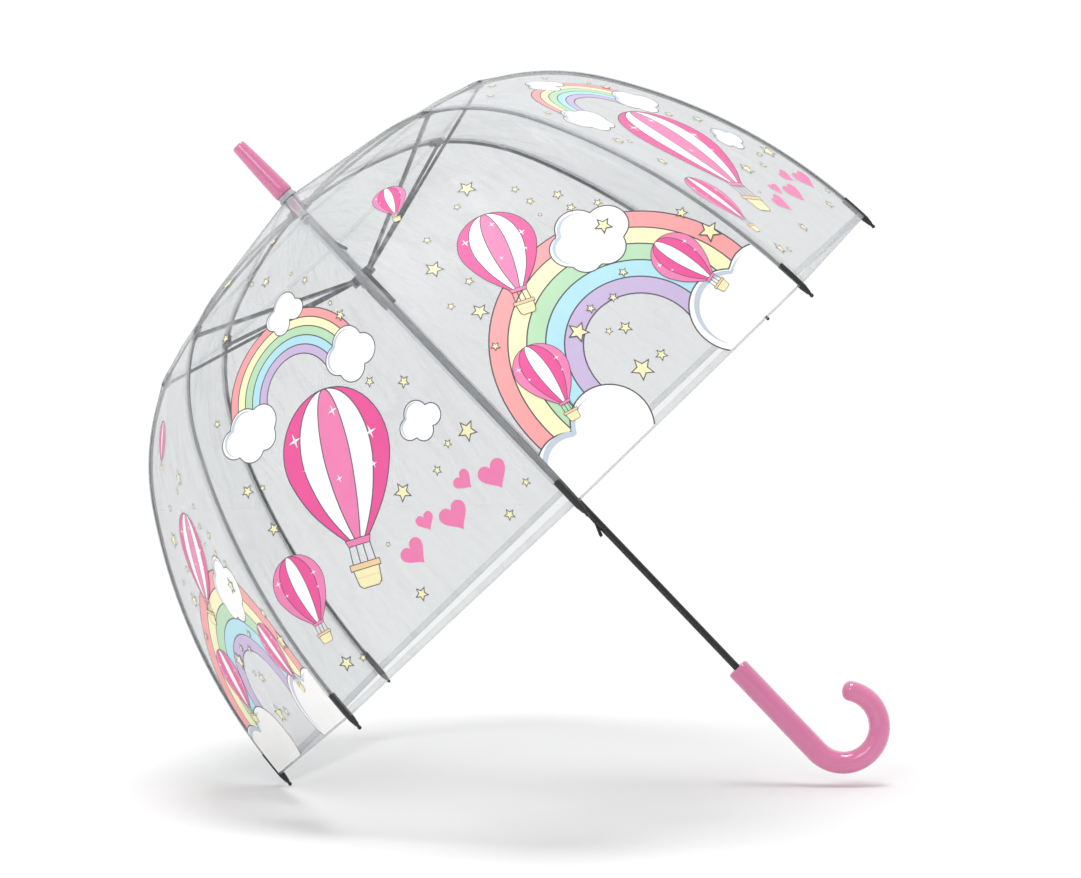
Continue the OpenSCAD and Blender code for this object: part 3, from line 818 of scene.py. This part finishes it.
def bar_points():
    """(place, direction, radius) down the grip and round the hook, mm."""
    out = []
    for drop, inset in ((0.0, 2.0), (0.25, 1.1), (0.8, 0.45), (1.6, 0.1), (2.4, 0.0)):
        out.append((Vector((0, 0, top - drop)), Vector((0, 0, -1)), THICK - inset))
    for i in range(1, 9):
        z = top - 2.4 + (GRIP_LOW - top + 2.4) * i / 8
        out.append((Vector((0, 0, z)), Vector((0, 0, -1)), THICK))
    for i in range(1, 49):
        a = math.radians(TURN) * i / 48
        out.append((Vector((HOOK - HOOK * math.cos(a), 0, GRIP_LOW - HOOK * math.sin(a))),
                    Vector((math.sin(a), 0, -math.cos(a))), THICK + (THIN - THICK) * i / 48))
    place, way, radius = out[-1]
    for b in (20, 38, 54, 68, 79):
        k = math.radians(b)
        out.append((place + way * (radius * 0.8 * math.sin(k)), way, radius * math.cos(k)))
    return out


# %% A ring swept along it
RING = 64


def set_ring(verts, shapes, place, way, radius):
    """Puts a ring of vertices across the bar."""
    side = Vector((0, 1, 0))
    out = side.cross(way)
    for v, c in zip(verts, shapes):
        ridge = RIDGE if abs(abs(c.x) - 1) < 1e-4 else 0.0
        v.co = (place + (c.y * side + c.x * out) * (radius + ridge)) * MM


def extrude_ring(bm, edges):
    """Extrudes a ring of edges, and returns the new edges and vertices."""
    geom = bmesh.ops.extrude_edge_only(bm, edges=edges)["geom"]
    return ([g for g in geom if isinstance(g, bmesh.types.BMEdge)],
            [g for g in geom if isinstance(g, bmesh.types.BMVert)])


bm = bmesh.new()
stations = bar_points()
ring = bmesh.ops.create_circle(bm, segments=RING, radius=1.0)["verts"]
flat_ring = [v.co.copy() for v in ring]
top_edges = edges = bm.edges[:]
set_ring(ring, flat_ring, *stations[0])
for station in stations[1:]:
    edges, fresh = extrude_ring(bm, edges)
    # the new vertices in the order of the old ring
    ring = [min(fresh, key=lambda w, v=v: (w.co - v.co).length) for v in ring]
    set_ring(ring, flat_ring, *station)
bmesh.ops.holes_fill(bm, edges=edges, sides=RING)
print(len(stations), "rings along the handle")

# %% The hole for the shaft
edges, rim = extrude_ring(bm, top_edges)
for v in rim:
    v.co = Vector((v.co.x, v.co.y, 0)).normalized() * BORE * MM + Vector((0, 0, v.co.z))
edges, floor_ring = extrude_ring(bm, edges)
for v in floor_ring:
    v.co.z -= WELL * MM
bmesh.ops.holes_fill(bm, edges=edges, sides=RING)
bmesh.ops.recalc_face_normals(bm, faces=bm.faces)
handle = finish_piece("handle_moulding", bm, [handle_finish])
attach(handle, "shaft_assembly")
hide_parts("handle")
print(f"handle: {len(handle.data.polygons)} faces, hook {TURN:.0f} degrees")

# %% [markdown]
# The ferrule is the cap on the top of the shaft. It is turned as on a lathe: half its
# outline, with a slight belly, rounded edges and a sunk end, is spun once round.

# %% Ferrule
z0, z1 = (corner.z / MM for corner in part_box("ferrule"))
FOOT, END, ROUND, BELLY = 14.7 / 2, 10.7 / 2, 1.6, 0.18     # radii, end's rounding, belly, mm
bm = bmesh.new()
outline = [(BORE, z0 + 1.0), (BORE, z0), (FOOT - 1.0, z0), (FOOT - 0.3, z0 + 0.25),
           (FOOT, z0 + 1.0)]
for i in range(1, 13):
    k = i / 12
    outline.append((FOOT + (END - FOOT) * k + BELLY * math.sin(math.pi * k),
                    z0 + 1 + (z1 - z0 - 1 - ROUND) * k))
for b in (30, 55, 75):
    a = math.radians(b)
    outline.append((END - ROUND + ROUND * math.cos(a), z1 - ROUND + ROUND * math.sin(a)))
outline += [(END - 1.8, z1), (2.2, z1), (1.7, z1 - 0.35), (0.0, z1 - 0.5)]
row = [bm.verts.new((r * MM, 0, z * MM)) for r, z in outline]
edges = [bm.edges.new(pair) for pair in zip(row, row[1:])]
bmesh.ops.spin(bm, geom=row + edges, cent=(0, 0, 0), axis=(0, 0, 1), angle=2 * math.pi, steps=64,
               use_merge=True)
bmesh.ops.remove_doubles(bm, verts=bm.verts, dist=1e-6)
bmesh.ops.recalc_face_normals(bm, faces=bm.faces)
bmesh.ops.holes_fill(bm, edges=[e for e in bm.edges if e.is_boundary], sides=128)
ferrule = finish_piece("ferrule_moulding", bm, [handle_finish])
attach(ferrule, "shaft_assembly")
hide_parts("ferrule")
print(f"ferrule: {z1 - z0:.1f} mm long, {2 * FOOT:.1f} to {2 * END:.1f} mm across")

# %% [markdown]
# The frame is steel and nylon. Shaft, ribs and struts are steel with black stoving
# enamel: smooth, fairly glossy, with an orange-peel ripple about 1 mm across and dull
# rubbed patches. The crown, the runner and its stop, the lower catch and the rib tips
# are black nylon, moulded and satin, with the fine stipple of a spark-eroded mould,
# and the collar is the same nylon in grey. The ring wires and the upper catch are
# zinc-plated steel, so they are the only bright metal. These CAD pieces already have
# the right shape, so they keep their meshes and only get their finishes.

# %% Black enamelled steel
def black_enamel(name, hex_code, wear):
    """Stoving enamel on drawn steel wire or tube."""
    material, tree, output = new_finish(name)
    where = add(tree, "ShaderNodeTexCoord")
    peel = add(tree, "ShaderNodeTexNoise", {"Vector": where.outputs["Object"]},
               Scale=1 / (1.0 * MM), Detail=2.0, Roughness=0.5)
    rubbed = add(tree, "ShaderNodeTexNoise", {"Vector": where.outputs["Object"]},
                 Scale=1 / (14 * MM), Detail=5.0, Roughness=0.65)
    patch = ramp(tree, rubbed.outputs["Fac"], [(0.42, 0.22), (0.62, 0.22 + wear)])
    tone = add(tree, "ShaderNodeMapRange", {"Value": rubbed.outputs["Fac"]},
               From_Min=0.3, From_Max=0.7, To_Min=0.8, To_Max=1.35)
    colour = add(tree, "ShaderNodeHueSaturation", {"Value": tone.outputs["Result"]},
                 Color=linear(hex_code))
    bump = add(tree, "ShaderNodeBump", {"Height": peel.outputs["Fac"]}, Strength=0.2,
               Distance=0.00005)
    coat = add(tree, "ShaderNodeBsdfPrincipled", {"Base Color": colour.outputs["Color"],
               "Roughness": patch.outputs["Color"], "Normal": bump.outputs["Normal"]}, IOR=1.5)
    tree.links.new(coat.outputs["BSDF"], output.inputs["Surface"])
    return material


# %% Moulded nylon and zinc-plated wire
def moulded_nylon(name, hex_code):
    """Injection-moulded nylon, spark-eroded mould."""
    material, tree, output = new_finish(name)
    where = add(tree, "ShaderNodeTexCoord")
    stipple = add(tree, "ShaderNodeTexNoise", {"Vector": where.outputs["Object"]},
                  Scale=1 / (0.35 * MM), Detail=3.0, Roughness=0.6)
    flow = add(tree, "ShaderNodeTexNoise", {"Vector": where.outputs["Object"]},
               Scale=1 / (6 * MM), Detail=2.0, Roughness=0.5)
    tone = add(tree, "ShaderNodeMapRange", {"Value": flow.outputs["Fac"]},
               To_Min=0.8, To_Max=1.25)
    colour = add(tree, "ShaderNodeHueSaturation", {"Value": tone.outputs["Result"]},
                 Color=linear(hex_code))
    rough = ramp(tree, stipple.outputs["Fac"], [(0.3, 0.36), (0.7, 0.52)])
    bump = add(tree, "ShaderNodeBump", {"Height": stipple.outputs["Fac"]}, Strength=0.3,
               Distance=0.00006)
    body = add(tree, "ShaderNodeBsdfPrincipled", {"Base Color": colour.outputs["Color"],
               "Roughness": rough.outputs["Color"], "Normal": bump.outputs["Normal"]}, IOR=1.53)
    tree.links.new(body.outputs["BSDF"], output.inputs["Surface"])
    return material


def zinc_plate(name, hex_code):
    """Bright zinc on spring wire, with fine draw lines."""
    material, tree, output = new_finish(name)
    where = add(tree, "ShaderNodeTexCoord")
    draw = add(tree, "ShaderNodeTexNoise", {"Vector": where.outputs["Object"]},
               Scale=1 / (0.4 * MM), Detail=4.0, Roughness=0.6)
    rough = ramp(tree, draw.outputs["Fac"], [(0.35, 0.24), (0.7, 0.42)])
    tone = add(tree, "ShaderNodeMapRange", {"Value": draw.outputs["Fac"]}, To_Min=0.85, To_Max=1.1)
    colour = add(tree, "ShaderNodeHueSaturation", {"Value": tone.outputs["Result"]},
                 Color=linear(hex_code))
    body = add(tree, "ShaderNodeBsdfPrincipled", {"Base Color": colour.outputs["Color"],
               "Roughness": rough.outputs["Color"]}, Metallic=1.0)
    tree.links.new(body.outputs["BSDF"], output.inputs["Surface"])
    return material


enamel = black_enamel("steel_black_enamel", "#232326", 0.16)
wire_enamel = black_enamel("steel_wire_black_enamel", "#39393d", 0.2)
nylon = moulded_nylon("nylon_black_moulded", "#1d1d20")
collar_nylon = moulded_nylon("nylon_grey_moulded", "#b9b9bd")
zinc = zinc_plate("zinc_plated_spring_wire", "#c9ccd2")

# %% Give the CAD pieces their finishes
FINISH = {"shaft": enamel, "top_collar": collar_nylon, "crown": nylon, "runner": nylon,
          "upper_stop": nylon, "crown_wire": zinc, "runner_wire": zinc, "upper_catch": zinc,
          "lower_catch": nylon}
FAMILY = {"rib": wire_enamel, "strut": wire_enamel, "tip": nylon}
count = 0
for name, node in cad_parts.items():
    finish = FINISH.get(name) or FAMILY.get(name.split("_")[0])
    if finish is None:
        continue
    node.data.materials.clear()
    node.data.materials.append(finish)
    count += 1
print(count, "CAD pieces finished")

# %% [markdown]
# The setting is a plain white studio. The floor is matt paper that just touches the
# lowest point of the leaning umbrella, tipped a few degrees towards the camera so that
# a thin ellipse of shadow shows. The paper fades into an even white, so that no edge
# of it shows from any side. The light comes from a world that is brighter behind the
# umbrella than in front, and from a broad sun high above, which gives the shadow and
# the long highlights. Two weak soft lamps lift the near side.

# %% Floor
TIPPED = math.radians(4.0)
SHEET, PAPER_ENDS = 6.0, 3.0         # m: radius of the sheet, and where the paper has faded
floor_up = (LEAN * math.cos(TIPPED) - AWAY * math.sin(TIPPED)).normalized()
lowest = min(floor_up.dot(node.matrix_world @ v.co)
             for name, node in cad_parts.items() for v in node.data.vertices)
material, tree, output = new_finish("studio_paper_white")
side = add(tree, "ShaderNodeNewGeometry")
where = add(tree, "ShaderNodeTexCoord")
tooth = add(tree, "ShaderNodeTexNoise", {"Vector": where.outputs["Object"]},
            Scale=1 / (1.5 * MM), Detail=2.0)
bump = add(tree, "ShaderNodeBump", {"Height": tooth.outputs["Fac"]}, Strength=0.05, Distance=0.0001)
paper = add(tree, "ShaderNodeBsdfDiffuse", {"Normal": bump.outputs["Normal"]},
            Color=linear("#e9e9e9"))
clear = add(tree, "ShaderNodeBsdfTransparent")
# the paper starts to fade 1.1 m from the umbrella, at 0.63 of the gradient
spread = add(tree, "ShaderNodeMapping", {"Vector": where.outputs["Object"]})
spread.inputs["Location"].default_value = -(floor_up * lowest) / PAPER_ENDS
spread.inputs["Scale"].default_value = (1 / PAPER_ENDS, 1 / PAPER_ENDS, 1 / PAPER_ENDS)
near = add(tree, "ShaderNodeTexGradient", {"Vector": spread.outputs["Vector"]},
           gradient_type="SPHERICAL")
fade = add(tree, "ShaderNodeMapRange", {"Value": near.outputs["Fac"]},
           interpolation_type="SMOOTHSTEP", From_Min=0.0, From_Max=0.63, To_Min=1.0, To_Max=0.0)
gone = add(tree, "ShaderNodeMath", {0: fade.outputs["Result"], 1: side.outputs["Backfacing"]},
           operation="MAXIMUM")
both = add(tree, "ShaderNodeMixShader", {0: gone.outputs["Value"], 1: paper.outputs["BSDF"],
                                         2: clear.outputs["BSDF"]})
tree.links.new(both.outputs["Shader"], output.inputs["Surface"])
bm = bmesh.new()
bmesh.ops.create_circle(bm, cap_ends=True, segments=96, radius=SHEET)
depth = floor_up.cross(ACROSS).normalized()
bmesh.ops.transform(bm, verts=bm.verts[:], matrix=turned(ACROSS, depth, floor_up,
                    floor_up * (lowest - 0.5 * MM)))
if bm.faces[:][0].normal.dot(floor_up) < 0:
    bmesh.ops.reverse_faces(bm, faces=bm.faces)
floor = finish_piece("studio_floor", bm, [material], smooth=False)
print(f"floor at {lowest * 1000:.1f} mm along its normal")

# %% Lights
world = bpy.data.worlds.new("studio")
world.use_nodes = True
tree = world.node_tree
sky = tree.nodes["Background"]
way = add(tree, "ShaderNodeSeparateXYZ",
          {"Vector": add(tree, "ShaderNodeTexCoord").outputs["Generated"]})
# bright behind the umbrella, dimmer on the near side, so that round pieces show their form
glow = add(tree, "ShaderNodeMapRange", {"Value": way.outputs["Y"]},
           From_Min=-0.6, From_Max=0.3, To_Min=0.52, To_Max=0.95)
sky.inputs["Color"].default_value = (1, 1, 1, 1)
tree.links.new(glow.outputs["Result"], sky.inputs["Strength"])
# what is seen directly is one even white all round
backdrop = add(tree, "ShaderNodeBackground", Color=(1, 1, 1, 1), Strength=1.03)
seen = add(tree, "ShaderNodeMixShader",
           {0: add(tree, "ShaderNodeLightPath").outputs["Is Camera Ray"],
            1: sky.outputs["Background"], 2: backdrop.outputs["Background"]})
tree.links.new(seen.outputs["Shader"], tree.nodes["World Output"].inputs["Surface"])
bpy.context.scene.world = world
bpy.context.scene.view_settings.view_transform = "Standard"

sun = bpy.data.objects.new("overhead_light", bpy.data.lights.new("overhead_light", "SUN"))
sun.data.energy, sun.data.angle = 1.5, math.radians(24)
sun.matrix_world = (-(LEAN - 0.12 * AWAY)).to_track_quat("-Z", "Y").to_matrix().to_4x4()
bpy.context.scene.collection.objects.link(sun)


def soft_lamp(name, place, size, power):
    """A square area lamp at place, aimed at the middle of the umbrella."""
    lamp = bpy.data.objects.new(name, bpy.data.lights.new(name, "AREA"))
    lamp.data.shape, lamp.data.size, lamp.data.energy = "SQUARE", size, power
    lamp.matrix_world = (AIM - place).normalized().to_track_quat("-Z", "Y").to_matrix().to_4x4()
    lamp.matrix_world.translation = place
    bpy.context.scene.collection.objects.link(lamp)


soft_lamp("front_light", AIM - AWAY * 1.7 + LEAN * 0.9 - ACROSS * 0.5, 0.9, 7)
soft_lamp("side_light", AIM - ACROSS * 1.5 + LEAN * 0.6 - AWAY * 1.0, 0.7, 2)
print("an overhead light, two soft lamps and a white world")
